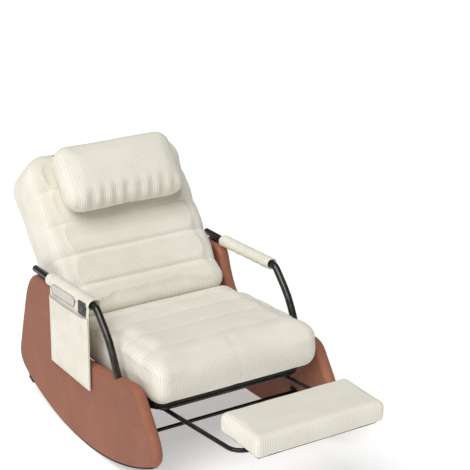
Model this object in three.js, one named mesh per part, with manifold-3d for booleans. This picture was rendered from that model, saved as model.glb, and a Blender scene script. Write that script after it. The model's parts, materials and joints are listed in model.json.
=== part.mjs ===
// A rocking recliner armchair with a pull-out footrest, in millimetres.
// +Z is up, the chair faces -Y, and the sitter's right is -X.
// The floor is Z = 0 and X = 0 is the plane of symmetry.
import * as THREE from 'three';
import { mergeVertices } from 'three/addons/utils/BufferGeometryUtils.js';
import Module from 'manifold-3d';

const wasm = await Module();
wasm.setup();

// ---------------------------------------------------------------- driving dimensions
const GAP = 0.3;                                  // air left between touching pieces
const CENTRE_SHIFT_Y = -25;                        // puts the middle of the depth on Y = 0

const SIDE = { x: 345, thick: 50, edge: 20, coreThick: 26, coreInset: 12 };
const ROCKER = { y: 142, radius: 1020, front: -345, rear: 540, strip: 4, stripWidth: 22, flatHalf: 22 };
const INNER_FACE = SIDE.x - SIDE.thick / 2;       // 320, the face that the seat hangs from

const ARM = { r: 12.5, wall: 1.6, rear: [465, 508], sleeveRear: [352, 511], sleeveFront: [44, 528.5],
  elbow: [25, 530], bow: [-60, 446], foot: [-116, 338], sunk: 40, sleeveR: 20, bore: 13.1 };
const POCKET = { front: 40, rear: 312, drop: 282, mouth: 38, wall: 2.4, room: 12, outside: 370.8 };

const SEAT = { slope: 5, frameX: 275, tubeR: 8.5, wall: 1.5, front: [-240, 262], length: 572,
  boardThick: 8, halfWidth: 303, cushionEdge: 34 };
const CROSSBAR = { r: 6.5, wall: 1.5, front: [-147, 130], rear: [420, 120] };

const FOOT = { slope: 6, railX: 230, tubeR: 7.5, wall: 1.4, cross: [-635, 284], length: 540,
  padHalfWidth: 239, padDepth: 210, padThick: 67, padEdge: 22, padCentre: [-640, 345.5],
  boardThick: 8, guideLength: 92, guideFront: -192 };

const BACK = { pivot: [385, 304], lean: 40, frameX: 275, tubeR: 9, wall: 1.5, pinR: 6, knuckleR: 15,
  halfWidth: 303, low: -30, high: 590, front: 165, rear: -26, edge: 58,
  board: [10, 560], coverTop: 446, cornerR: 95 };

const PILLOW = { along: 447, out: 226, halfWidth: 229, height: 240, thick: 112, edge: 50 };

// ---------------------------------------------------------------- materials
function paint(color, roughness, metalness = 0) {
  return () => new THREE.MeshStandardMaterial({ color, roughness, metalness });
}
const leather = paint(0x9b6a55, 0.55);
const corduroy = paint(0xe6e0d2, 0.95);
const gunmetal = paint(0x55524e, 0.38, 0.85);
const blackSteel = paint(0x262422, 0.5, 0.6);
const steel = paint(0x9a9a98, 0.35, 0.9);
const plywood = paint(0xc9a877, 0.7);
const rubber = paint(0x2a1d18, 0.85);
const blackPlastic = paint(0x1d1d1d, 0.5);
const blackCloth = paint(0x232323, 0.95);
const labelCloth = paint(0xc9c2bb, 0.8);

// ---------------------------------------------------------------- shape helpers
// The solid of a geometry, for joining and cutting.
function solid(geometry) {
  const bare = new THREE.BufferGeometry();
  bare.setAttribute('position', geometry.getAttribute('position').clone());
  if (geometry.index) bare.setIndex(geometry.index.clone());
  const merged = mergeVertices(bare, 1e-4);
  const vertProperties = new Float32Array(merged.getAttribute('position').array);
  const triVerts = new Uint32Array(merged.index.array);
  return new wasm.Manifold(new wasm.Mesh({ numProp: 3, vertProperties, triVerts }));
}

function geometryOf(manifold) {
  const { vertProperties, triVerts } = manifold.getMesh();
  const geometry = new THREE.BufferGeometry();
  geometry.setAttribute('position', new THREE.BufferAttribute(vertProperties, 3));
  geometry.setIndex(new THREE.BufferAttribute(triVerts, 1));
  geometry.computeVertexNormals();
  return geometry;
}

function cut(geometry, ...tools) {
  return geometryOf(tools.reduce((body, tool) => body.subtract(solid(tool)), solid(geometry)));
}

function join(...geometries) {
  return geometryOf(geometries.map(solid).reduce((body, other) => body.add(other)));
}

// A box between two corners.
function block([x0, y0, z0], [x1, y1, z1]) {
  return new THREE.BoxGeometry(x1 - x0, y1 - y0, z1 - z0)
    .translate((x0 + x1) / 2, (y0 + y1) / 2, (z0 + z1) / 2);
}

// A plate of even thickness about its middle plane, with its rims rounded by edge.
function slab(shape, thickness, edge, { inset = 0, rimSteps = 3, curveSegments = 6 } = {}) {
  const depth = thickness - 2 * edge;
  return new THREE.ExtrudeGeometry(shape, {
    depth, bevelEnabled: true, bevelThickness: edge, bevelSize: edge, bevelOffset: -edge - inset,
    bevelSegments: rimSteps, curveSegments, steps: 1,
  }).translate(0, 0, -depth / 2);
}

// Turns a shape drawn in (x, y) and extruded along z into one drawn in (Y, Z) and extruded along X.
const SIDEWAYS = new THREE.Matrix4().makeBasis(
  new THREE.Vector3(0, 1, 0), new THREE.Vector3(0, 0, 1), new THREE.Vector3(1, 0, 0));

function sideways(geometry, x = 0) {
  return geometry.applyMatrix4(SIDEWAYS).translate(x, 0, 0);
}

// A rectangle with round corners, centred on (cx, cy).
function roundedRect(halfX, halfY, radius, cx = 0, cy = 0) {
  const shape = new THREE.Shape();
  const quarter = Math.PI / 2;
  shape.absarc(cx + halfX - radius, cy + halfY - radius, radius, 0, quarter);
  shape.absarc(cx - halfX + radius, cy + halfY - radius, radius, quarter, 2 * quarter);
  shape.absarc(cx - halfX + radius, cy - halfY + radius, radius, 2 * quarter, 3 * quarter);
  shape.absarc(cx + halfX - radius, cy - halfY + radius, radius, 3 * quarter, 4 * quarter);
  return shape;
}

function ringShape(outer, inner) {
  const shape = new THREE.Shape();
  shape.absarc(0, 0, outer, 0, 2 * Math.PI);
  if (inner > 0) {
    const hole = new THREE.Path();
    hole.absarc(0, 0, inner, 0, 2 * Math.PI);
    shape.holes.push(hole);
  }
  return shape;
}

// A straight tube or rod between two points.
function rod(from, to, outer, inner = 0, curveSegments = 6) {
  const start = new THREE.Vector3(...from);
  const along = new THREE.Vector3(...to).sub(start);
  const geometry = new THREE.ExtrudeGeometry(ringShape(outer, inner),
    { depth: along.length(), bevelEnabled: false, curveSegments });
  const turn = new THREE.Quaternion().setFromUnitVectors(new THREE.Vector3(0, 0, 1), along.normalize());
  return geometry.applyQuaternion(turn).translate(...start);
}

// The centre line of a bent tube: straight runs joined by circular bends.
class BentLine extends THREE.Curve {
  constructor(corners, bends, bendSteps) {
    super();
    this.stations = [];
    const points = corners.map((corner) => new THREE.Vector3(...corner));
    const heading = (i) => points[i + 1].clone().sub(points[i]).normalize();
    this.stations.push([points[0], heading(0)]);
    for (let i = 1; i < points.length - 1; i += 1) {
      this.addBend(points[i], heading(i - 1), heading(i), bends[i - 1], bendSteps);
    }
    this.stations.push([points.at(-1), heading(points.length - 2)]);
  }

  addBend(corner, before, after, radius, bendSteps) {
    const turn = before.angleTo(after);
    const start = corner.clone().addScaledVector(before, -radius * Math.tan(turn / 2));
    const axis = before.clone().cross(after).normalize();
    const centre = start.clone().addScaledVector(axis.clone().cross(before), radius);
    const steps = Math.max(2, Math.round(bendSteps * turn / (Math.PI / 2)));
    for (let k = 0; k <= steps; k += 1) {
      const angle = turn * k / steps;
      const point = start.clone().sub(centre).applyAxisAngle(axis, angle).add(centre);
      this.stations.push([point, before.clone().applyAxisAngle(axis, angle)]);
    }
  }

  get steps() {
    return this.stations.length - 1;
  }

  getPointAt(u, target = new THREE.Vector3()) {
    return target.copy(this.stations[Math.round(u * this.steps)][0]);
  }

  getTangentAt(u, target = new THREE.Vector3()) {
    return target.copy(this.stations[Math.round(u * this.steps)][1]);
  }
}

function bentTube(corners, bends, outer, wall, { bendSteps = 5, curveSegments = 5 } = {}) {
  const extrudePath = new BentLine(corners, bends, bendSteps);
  return new THREE.ExtrudeGeometry(ringShape(outer, outer - wall),
    { extrudePath, steps: extrudePath.steps, curveSegments });
}

// ---------------------------------------------------------------- scene tree
const chair = new THREE.Group();
const model = new THREE.Group();
model.position.y = CENTRE_SHIFT_Y;
chair.add(model);

function addTo(group, name, geometry, material) {
  const piece = new THREE.Mesh(geometry, material());
  piece.name = name;
  group.add(piece);
}

const SIDES = [['right', -1], ['left', 1]];

// ---------------------------------------------------------------- rocker side panels
// Where the rocker's circle passes at a given Y, and how steep it is there.
function rockerAt(y, radius) {
  const slope = Math.asin((y - ROCKER.y) / radius);
  return { z: ROCKER.radius - radius * Math.cos(slope), slope };
}

// The boat-shaped outline: a round underside, a blunt nose, a knee that the arm stands on,
// a dip beside the seat and an upright that carries the back of the arm.
function sideShape() {
  const radius = ROCKER.radius - ROCKER.strip;
  const tail = rockerAt(ROCKER.rear, radius);
  const nose = rockerAt(ROCKER.front, radius);
  const shape = new THREE.Shape();
  shape.absarc(ROCKER.y, ROCKER.radius, radius, nose.slope - Math.PI / 2, tail.slope - Math.PI / 2);
  shape.quadraticCurveTo(612, 116, 595, 175);
  shape.lineTo(543, 352);
  shape.quadraticCurveTo(507, 484, 455, 489);
  shape.lineTo(372, 492);
  shape.quadraticCurveTo(343, 493, 333, 464);
  shape.bezierCurveTo(295, 345, 262, 300, 130, 311);
  shape.bezierCurveTo(30, 318, -70, 334, -180, 354);
  shape.quadraticCurveTo(-243, 371, -276, 316);
  shape.lineTo(-338, 233);
  shape.quadraticCurveTo(-386, 160, ROCKER.front, nose.z);
  return shape;
}

function rockerStrip() {
  const outer = ROCKER.radius;
  const inner = ROCKER.radius - ROCKER.strip + GAP;
  const from = rockerAt(ROCKER.front, outer).slope - Math.PI / 2;
  const to = rockerAt(ROCKER.rear, outer).slope - Math.PI / 2;
  const shape = new THREE.Shape();
  shape.absarc(ROCKER.y, ROCKER.radius, outer, from, to);
  shape.absarc(ROCKER.y, ROCKER.radius, inner, to, from, true);
  const strip = new THREE.ExtrudeGeometry(shape,
    { depth: ROCKER.stripWidth, bevelEnabled: false, curveSegments: 16 });
  strip.translate(0, 0, -ROCKER.stripWidth / 2);
  // The short flat at the lowest point, where the chair comes to rest.
  const flat = rockerAt(ROCKER.y + ROCKER.flatHalf, outer).z;
  const floor = block([-50, ROCKER.y - 200, -20], [50, ROCKER.y + 200, flat]);
  return cut(sideways(strip), floor).translate(0, 0, -flat);
}

function legDirection() {
  const [y0, z0] = ARM.bow;
  const [y1, z1] = ARM.foot;
  return new THREE.Vector2(y1 - y0, z1 - z0).normalize();
}

function armSunkEnd(extra = 0) {
  const leg = legDirection();
  return [ARM.foot[0] + leg.x * (ARM.sunk + extra), ARM.foot[1] + leg.y * (ARM.sunk + extra)];
}

function sidePanel(side, sign) {
  const leg = legDirection();
  const above = [0, ARM.foot[0] - leg.x * 80, ARM.foot[1] - leg.y * 80];
  const armBore = () => rod(above, [0, ...armSunkEnd(1)], ARM.bore, 0, 8);
  const whole = () => sideways(slab(sideShape(), SIDE.thick, SIDE.edge, { rimSteps: 4 }));
  const core = (grow) => sideways(slab(sideShape(), SIDE.coreThick + 2 * grow, 1,
    { inset: SIDE.coreInset - grow, rimSteps: 1 }));
  const half = (facing) => {
    const away = facing > 0 ? block([-99, -900, -99], [GAP / 2, 900, 900])
      : block([-GAP / 2, -900, -99], [99, 900, 900]);
    return cut(whole(), away, core(GAP), armBore()).translate(sign * SIDE.x, 0, 0);
  };
  addTo(model, `${side}_side_core_board`,
    cut(core(0), armBore()).translate(sign * SIDE.x, 0, 0), plywood);
  addTo(model, `${side}_side_outer_pad`, half(sign), leather);
  addTo(model, `${side}_side_inner_pad`, half(-sign), leather);
  addTo(model, `${side}_rocker_strip`, rockerStrip().translate(sign * SIDE.x, 0, 0), rubber);
  const tail = rockerAt(ROCKER.rear - 22, ROCKER.radius + 0.5);
  const stop = slab(roundedRect(18, 5, 4), 26, 2, { rimSteps: 1, curveSegments: 2 });
  stop.applyMatrix4(SIDEWAYS).rotateX(tail.slope).translate(sign * SIDE.x, ROCKER.rear - 22, tail.z - 5.6);
  addTo(model, `${side}_tip_stop`, stop, rubber);
}

// ---------------------------------------------------------------- arms
// A group whose local -Y runs forward along the arm from the rear end of the sleeve.
function armGroup() {
  const [y0, z0] = ARM.sleeveRear;
  const [y1, z1] = ARM.sleeveFront;
  const group = new THREE.Group();
  group.position.set(0, y0, z0);
  group.rotation.x = -Math.atan2(z1 - z0, y0 - y1);
  return group;
}

const sleeveLength = Math.hypot(ARM.sleeveRear[0] - ARM.sleeveFront[0],
  ARM.sleeveFront[1] - ARM.sleeveRear[1]);

function arm(side, sign) {
  const x = sign * SIDE.x;
  const corners = [ARM.rear, ARM.sleeveRear, ARM.elbow, ARM.bow, armSunkEnd()];
  const tube = bentTube(corners.map(([y, z]) => [x, y, z]), [900, 35, 260], ARM.r, ARM.wall);
  addTo(model, `${side}_arm_tube`, tube, gunmetal);
  const [y, z] = ARM.rear;
  addTo(model, `${side}_arm_end_plug`,
    rod([x, y + GAP, z], [x, y + GAP + 4, z - 0.1], ARM.r - 0.4), blackPlastic);
  const saddleTop = z - ARM.r - GAP;
  addTo(model, `${side}_arm_saddle`, block([x - 9, 385, saddleTop - 1.6], [x + 9, 445, saddleTop]), steel);
  const along = armGroup();
  model.add(along);
  addTo(along, `${side}_arm_sleeve`,
    rod([x, 0, 0], [x, -sleeveLength, 0], ARM.sleeveR, ARM.r + 2 * GAP, 8), corduroy);
}

// A flat pouch that hangs from a loop round the sitter's right arm.
function sidePocket() {
  const along = armGroup();
  model.add(along);
  const [y0, y1] = [POCKET.front - ARM.sleeveRear[0], POCKET.rear - ARM.sleeveRear[0]];
  const loopOuter = ARM.sleeveR + GAP + POCKET.wall;
  const loop = rod([-SIDE.x, y1, 0], [-SIDE.x, y0, 0], loopOuter, ARM.sleeveR + GAP, 8);
  const xIn = -POCKET.outside;
  const xSheet = xIn - POCKET.wall;
  const xOut = xSheet - POCKET.room - POCKET.wall;
  const bridge = block([xSheet, y0, -4], [-SIDE.x - ARM.sleeveR - 1, y1, 4]);
  const sheet = block([xSheet, y0, -POCKET.drop], [xIn, y1, 3]);
  const pouch = block([xOut, y0, -POCKET.drop], [xIn, y1, -POCKET.mouth]);
  const room = block([xOut + POCKET.wall, y0 + POCKET.wall, POCKET.wall - POCKET.drop],
    [xSheet, y1 - POCKET.wall, 9]);
  addTo(along, 'side_pocket', join(loop, bridge, sheet, cut(pouch, room)), corduroy);
  const label = slab(roundedRect(83, 14.5, 14, y1 - 103, -12), 1.4, 0.4, { rimSteps: 1, curveSegments: 4 });
  addTo(along, 'pocket_label', sideways(label, xSheet - 1), labelCloth);
  const clip = slab(roundedRect(29.5, 12.5, 3, y0 + 32.5, -10), 6, 1, { rimSteps: 1, curveSegments: 2 });
  addTo(along, 'pocket_clip', sideways(clip, xSheet - 3.3), blackPlastic);
}

// ---------------------------------------------------------------- seat
// A group at the middle of the seat tube's front run, whose local +Y follows the seat to the rear.
const seatGroup = new THREE.Group();
seatGroup.position.set(0, ...SEAT.front);
seatGroup.rotation.x = -THREE.MathUtils.degToRad(SEAT.slope);
model.add(seatGroup);

function seatFrame() {
  const { frameX: x, tubeR: r, length } = SEAT;
  addTo(seatGroup, 'seat_frame_tube', bentTube(
    [[-x, length, 0], [-x, 0, 0], [x, 0, 0], [x, length, 0]], [55, 55], r, SEAT.wall), blackSteel);
  addTo(seatGroup, 'seat_frame_rear_bar',
    rod([-x + r + GAP, length - r, 0], [x - r - GAP, length - r, 0], r, r - SEAT.wall), blackSteel);
  const top = r + GAP;
  const board = slab(roundedRect(276, 226, 40, 0, 216), SEAT.boardThick, 1, { rimSteps: 1 });
  addTo(seatGroup, 'seat_board', board.translate(0, 0, top + SEAT.boardThick / 2), blackCloth);
  for (const [side, sign] of SIDES) {
    for (const [end, y] of [['front', 75], ['rear', 460]]) seatBracket(side, sign, end, y);
  }
}

// An angle bracket that carries the seat tube on the side panel, and its bolt.
function seatBracket(side, sign, end, y) {
  const inner = SEAT.frameX - 6;
  const outer = INNER_FACE - GAP;
  const below = -SEAT.tubeR - GAP;
  const shelf = block([inner, y - 22, below - 3], [outer, y + 22, below]);
  const flange = block([outer - 3, y - 22, below - 3], [outer, y + 22, below + 30]);
  const mirror = (geometry) => (sign > 0 ? geometry : geometry.rotateZ(Math.PI).translate(0, 2 * y, 0));
  addTo(seatGroup, `${side}_${end}_seat_bracket`, mirror(join(shelf, flange)), blackSteel);
  const head = rod([SEAT.frameX, y, below - 3 - GAP], [SEAT.frameX, y, below - 9], 7, 0, 3);
  addTo(seatGroup, `${side}_${end}_seat_bolt`, mirror(head), steel);
}

// The cushion's side outline, in chair coordinates: flat underside, round front roll and crowned top.
// The soft core is left out of it from below, so that what is left weighs what the cushion does.
function seatCushion() {
  const shape = new THREE.Shape();
  shape.moveTo(228, 250);
  shape.lineTo(-235, 281);
  shape.quadraticCurveTo(-318, 284, -314, 362);
  shape.quadraticCurveTo(-308, 432, -245, 436);
  shape.quadraticCurveTo(0, 420, 168, 402);
  shape.quadraticCurveTo(228, 396, 228, 340);
  shape.closePath();
  const cushion = slab(shape, 2 * SEAT.halfWidth, SEAT.cushionEdge, { rimSteps: 4, curveSegments: 7 });
  const springs = slab(roundedRect(262, 205, 40, 0, 10), 2 * 105, 1, { rimSteps: 1 });
  springs.rotateX(-THREE.MathUtils.degToRad(SEAT.slope)).translate(0, -10, 281);
  addTo(model, 'seat_cushion', cut(sideways(cushion), springs), corduroy);
}

function crossbars() {
  for (const [end, [y, z]] of [['front', CROSSBAR.front], ['rear', CROSSBAR.rear]]) {
    const reach = INNER_FACE - 6 - 2 * GAP;
    addTo(model, `${end}_crossbar`,
      rod([-reach, y, z], [reach, y, z], CROSSBAR.r, CROSSBAR.r - CROSSBAR.wall, 5), blackSteel);
    for (const [side, sign] of SIDES) {
      const plate = slab(roundedRect(20, 13, 6, y, z), 6, 1, { rimSteps: 1, curveSegments: 3 });
      addTo(model, `${side}_${end}_crossbar_plate`,
        sideways(plate, sign * (INNER_FACE - GAP - 3)), blackSteel);
    }
  }
}

// ---------------------------------------------------------------- footrest
// A group on the cross tube, whose local +Y follows the rails to the rear.
const footGroup = new THREE.Group();
footGroup.position.set(0, ...FOOT.cross);
footGroup.rotation.x = -THREE.MathUtils.degToRad(FOOT.slope);
model.add(footGroup);

function footrest() {
  const { railX: x, tubeR: r, length } = FOOT;
  addTo(footGroup, 'footrest_frame', bentTube(
    [[-x, length, 0], [-x, 0, 0], [x, 0, 0], [x, length, 0]], [52, 52], r, FOOT.wall), blackSteel);
  for (const [side, sign] of SIDES) {
    addTo(footGroup, `${side}_rail_end_cap`,
      rod([sign * x, length + GAP, 0], [sign * x, length + 6, 0], r + 2), blackPlastic);
    railGuide(side, sign);
    footClip(side, sign);
  }
  const [y, z] = FOOT.padCentre;
  const halfDepth = FOOT.padDepth / 2;
  const bottom = z - FOOT.padThick / 2;
  const outline = roundedRect(halfDepth, FOOT.padThick / 2, 24, y, z);
  const pad = slab(outline, 2 * FOOT.padHalfWidth, FOOT.padEdge, { rimSteps: 4, curveSegments: 4 });
  addTo(model, 'footrest_pad', sideways(pad), corduroy);
  addTo(model, 'footrest_board', block([-215, y - halfDepth + 22, bottom - GAP - FOOT.boardThick],
    [215, y + halfDepth - 22, bottom - GAP]), blackCloth);
}

// A sleeve under the seat that a footrest rail slides in, with a tab to the seat tube.
function railGuide(side, sign) {
  const fromY = FOOT.guideFront - FOOT.cross[0];
  const toY = fromY + FOOT.guideLength;
  const outer = FOOT.tubeR + 3;
  const sleeve = rod([sign * FOOT.railX, fromY, 0], [sign * FOOT.railX, toY, 0],
    outer, FOOT.tubeR + 0.5, 8);
  const tabInner = FOOT.railX + outer - 1.2;
  const tabOuter = SEAT.frameX - SEAT.tubeR - 0.5;
  const ends = [sign * tabInner, sign * tabOuter].sort((a, b) => a - b);
  const tab = block([ends[0], fromY + 10, 2], [ends[1], toY - 10, 8]);
  addTo(footGroup, `${side}_rail_guide`, join(sleeve, tab), blackSteel);
}

// A clip under the footrest board that turns on the cross tube.
function footClip(side, sign) {
  const { tubeR: r } = FOOT;
  const [y, z] = FOOT.cross;
  const boardBottom = FOOT.padCentre[1] - FOOT.padThick / 2 - 2 * GAP - FOOT.boardThick;
  const shape = new THREE.Shape();
  shape.absarc(y, z, r + 4, Math.PI, 2 * Math.PI);
  shape.lineTo(y + 22, boardBottom - 4);
  shape.lineTo(y + 22, boardBottom);
  shape.lineTo(y - 22, boardBottom);
  shape.lineTo(y - 22, boardBottom - 4);
  shape.closePath();
  const hole = new THREE.Path();
  hole.absarc(y, z, r + 0.5, 0, 2 * Math.PI);
  shape.holes.push(hole);
  const clip = new THREE.ExtrudeGeometry(shape, { depth: 40, bevelEnabled: false, curveSegments: 7 });
  addTo(model, `${side}_footrest_clip`, sideways(clip, sign * 120 - 20), blackSteel);
}

// ---------------------------------------------------------------- back
// A group on the recline pivot: local Z runs up along the back, local -Y faces the sitter.
const backGroup = new THREE.Group();
backGroup.position.set(0, ...BACK.pivot);
backGroup.rotation.x = -THREE.MathUtils.degToRad(BACK.lean);
model.add(backGroup);

// Turns a shape drawn in (x, z) and extruded about its middle plane to stand at local Y.
function upright(geometry, y) {
  return geometry.rotateX(Math.PI / 2).translate(0, y, 0);
}

function backFrame() {
  const { frameX: x, tubeR: r } = BACK;
  const foot = BACK.knuckleR + 1;
  addTo(backGroup, 'back_frame_tube', bentTube(
    [[-x, 0, foot], [-x, 0, 548], [x, 0, 548], [x, 0, foot]], [70, 70], r, BACK.wall), blackSteel);
  addTo(backGroup, 'back_cross_tube',
    rod([-x + r + GAP, 0, 70], [x - r - GAP, 0, 70], 7, 5.5, 5), blackSteel);
  const [low, high] = BACK.board;
  const board = slab(roundedRect(284, (high - low) / 2, 60, 0, (low + high) / 2), 8, 1, { rimSteps: 1 });
  addTo(backGroup, 'back_board', upright(board, -r - GAP - 4), plywood);
  for (const [side, sign] of SIDES) backPivot(side, sign);
}

// The recline joint of one side: a stud fixed to the panel and a knuckle on the back frame.
function backPivot(side, sign) {
  const face = INNER_FACE - GAP;
  const flange = new THREE.CylinderGeometry(34, 34, 6, 24).rotateZ(Math.PI / 2).translate(sign * (face - 3), 0, 0);
  const pin = rod([sign * 258, 0, 0], [sign * (face - 4), 0, 0], BACK.pinR, 0, 8);
  const [y, z] = BACK.pivot;
  addTo(model, `${side}_recline_stud`, join(flange, pin).translate(0, y, z), steel);
  addTo(backGroup, `${side}_back_knuckle`,
    rod([sign * 262, 0, 0], [sign * 302, 0, 0], BACK.knuckleR, BACK.pinR + 0.4, 9), blackSteel);
}

// The upholstery: a deep cushion whose hood hangs over the top of the frame, and a padded rear cover.
function backUpholstery() {
  const { halfWidth: w, low, high, front, rear, edge } = BACK;
  const outline = roundedRect(w, (high - low) / 2, BACK.cornerR, 0, (high + low) / 2);
  const doubled = slab(outline, 2 * (front - rear), edge, { rimSteps: 5, curveSegments: 6 });
  const faceUp = upright(doubled, -front + (front - rear));
  const boardFace = -BACK.tubeR - 2 * GAP - 8;
  const behind = block([-400, -rear, -99], [400, 400, 999]);
  const lowerRear = block([-400, boardFace, -99], [400, 400, BACK.coverTop]);
  const hoodDepth = BACK.tubeR + GAP - boardFace;
  const hoodShape = roundedRect(288, 330, 64, 0, BACK.board[1] + 4 - 330);
  const hood = upright(slab(hoodShape, hoodDepth, 1, { rimSteps: 1 }), boardFace + hoodDepth / 2);
  const core = upright(slab(roundedRect(262, 266, 60, 0, 282), 240, 1, { rimSteps: 1 }), boardFace - 2);
  addTo(backGroup, 'back_cushion', cut(faceUp, behind, lowerRear, hood, core), corduroy);
  const thick = -rear - BACK.tubeR - GAP;
  const cover = slab(roundedRect(w - 8, (BACK.coverTop - 24) / 2, 40, 0, (BACK.coverTop + 20) / 2),
    thick, 6, { rimSteps: 3, curveSegments: 4 });
  addTo(backGroup, 'back_rear_cover', upright(cover, BACK.tubeR + GAP + thick / 2), corduroy);
}

// ---------------------------------------------------------------- head pillow
// The pillow lies on the front of the back. A cloth flap goes over the top to a weight behind.
function headPillow() {
  const outline = roundedRect(PILLOW.halfWidth, PILLOW.height / 2, 55, 0, PILLOW.along);
  const pillow = slab(outline, PILLOW.thick, PILLOW.edge, { rimSteps: 5, curveSegments: 4 });
  const core = slab(roundedRect(190, 85, 40, 0, PILLOW.along), 80, 1, { rimSteps: 1, curveSegments: 3 });
  addTo(backGroup, 'head_pillow',
    cut(upright(pillow, -PILLOW.out), upright(core, PILLOW.thick / 2 - PILLOW.out - 10)), corduroy);
  const reach = 150;
  const over = BACK.high + 12;
  const corners = [[-BACK.front - 12, PILLOW.along + 110], [-BACK.front - 12, over], [-rearHang, over],
    [-rearHang, reach + 330]];
  addTo(backGroup, 'pillow_flap', flapSheet(corners), corduroy);
  addTo(backGroup, 'pillow_weight', block([-180, -rearHang - 8, 440], [180, -rearHang + 8, 478]), blackCloth);
}

const rearHang = BACK.rear - 12;

function flapSheet(corners) {
  const outline = corners.map(([y, z]) => new THREE.Vector3(0, y, z));
  const path = new BentLine(outline.map((p) => p.toArray()), [60, 16], 4);
  const band = new THREE.Shape([
    new THREE.Vector2(-0.8, -190), new THREE.Vector2(0.8, -190),
    new THREE.Vector2(0.8, 190), new THREE.Vector2(-0.8, 190),
  ]);
  return new THREE.ExtrudeGeometry(band, { extrudePath: path, steps: path.steps });
}

// ---------------------------------------------------------------- assembly
for (const [side, sign] of SIDES) {
  sidePanel(side, sign);
  arm(side, sign);
}
sidePocket();
seatFrame();
seatCushion();
crossbars();
footrest();
backFrame();
backUpholstery();
headPillow();

export default chair;
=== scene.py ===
"""A rocking recliner armchair: upholstery, finishes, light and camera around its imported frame."""

import json
import math

import bmesh
import bpy
import numpy as np
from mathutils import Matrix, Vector, noise


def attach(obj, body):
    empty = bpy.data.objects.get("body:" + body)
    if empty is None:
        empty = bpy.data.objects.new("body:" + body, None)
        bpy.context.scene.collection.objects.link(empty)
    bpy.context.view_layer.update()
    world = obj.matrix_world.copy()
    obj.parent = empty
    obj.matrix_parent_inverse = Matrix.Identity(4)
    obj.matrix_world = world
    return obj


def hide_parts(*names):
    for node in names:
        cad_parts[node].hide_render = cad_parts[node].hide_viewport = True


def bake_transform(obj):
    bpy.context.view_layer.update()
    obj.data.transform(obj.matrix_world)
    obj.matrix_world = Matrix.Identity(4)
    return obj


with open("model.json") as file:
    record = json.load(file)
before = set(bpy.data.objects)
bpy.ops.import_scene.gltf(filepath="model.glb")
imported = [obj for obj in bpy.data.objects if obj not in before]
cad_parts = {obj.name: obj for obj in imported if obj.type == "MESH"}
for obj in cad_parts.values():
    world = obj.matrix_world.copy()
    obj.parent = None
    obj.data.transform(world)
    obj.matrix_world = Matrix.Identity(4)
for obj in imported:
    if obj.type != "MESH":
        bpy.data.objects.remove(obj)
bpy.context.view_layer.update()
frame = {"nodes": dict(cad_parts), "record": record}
NODES = frame["nodes"]
SIDES = (("left", 1), ("right", -1))

# ------------------------------------------------------------------ dimensions, metres
SHIFT_Y = -0.025          # the outlines below are drawn this far behind the part's frame
PANEL_X = 0.345           # plane of the arm tubes, runners and sleeves
PANEL_FACES = (0.3205, 0.3615)    # inner and outer face of each rocking side panel
PANEL_EDGE = 0.0165
INNER_LIMIT = 0.3170      # how far out the cushions may bulge between the panels
ROCKER_CENTRE = (0.142, 1.016)
ROCKER_RADIUS = 1.0155
ROCKER_FRONT, ROCKER_REAR = -0.345, 0.540

SEAT_HALF = 0.306
SEAT_CHANNELS = (-0.175, -0.057, 0.057, 0.150)

BACK_PIVOT = (0.360, 0.304)
BACK_LEAN = math.radians(40)
BACK_HALF = 0.309
BACK_LOW, BACK_HIGH = -0.028, 0.586
BACK_FRONT, BACK_REAR, BACK_BOARD = 0.166, -0.020, 0.0182
BACK_CHANNELS = (0.086, 0.200, 0.315, 0.442)
COVER_TOP = 0.446

PILLOW_UP, PILLOW_OUT = 0.447, 0.226
PILLOW_HALF = (0.226, 0.117, 0.054)

PAD_CENTRE = (-0.640, 0.3455)
PAD_HALF = (0.236, 0.103, 0.0325)

ARM_AXIS = ((0.352, 0.511), (0.044, 0.5285))
SLEEVE_R, SLEEVE_BORE, SLEEVE_LIP = 0.0214, 0.0132, 0.0036

POCKET_Y = (-0.318, -0.041)
POCKET_DROP, POCKET_MOUTH = 0.281, 0.038
POCKET_SHEET_X = -0.3691
POCKET_ROOM = 0.0125
CLOTH = 0.0011            # half the thickness of pocket cloth
LABEL_HALF, LABEL_AT = (0.083, 0.018), (0.143, 0.0090)
CLIP_HALF, CLIP_AT = (0.0260, 0.0225), (0.2770, 0.0120)

RIB = 0.0080              # pitch of the corduroy ribs

KEY_HEADING = (0.518, 0.288, -0.806)      # which way the key light shines
KEY_STRENGTH, KEY_SPREAD = 2.73, math.radians(50)
SKY_STRENGTH, FLOOR_GLOW = 0.20, 0.42
FLOOR_HALF, FLOOR_Z = 30, -0.0005

CAMERA_TARGET = (0, 0.060, 0.429)
CAMERA_AZIMUTH, CAMERA_ELEVATION = math.radians(-30.89), math.radians(23.98)
CAMERA_DISTANCE, CAMERA_LENS, CAMERA_SHIFT = 5.07, 115.5, (0.1188, 0.1540)

LOCAL = {}                # points of the finished back, in its own directions


# ------------------------------------------------------------------ nodes and materials
def srgb(*parts):
    """A linear colour from sRGB parts of 0 to 255."""
    return tuple(((c / 255 + 0.055) / 1.055) ** 2.4 if c > 10 else c / 255 / 12.92 for c in parts)


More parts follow.
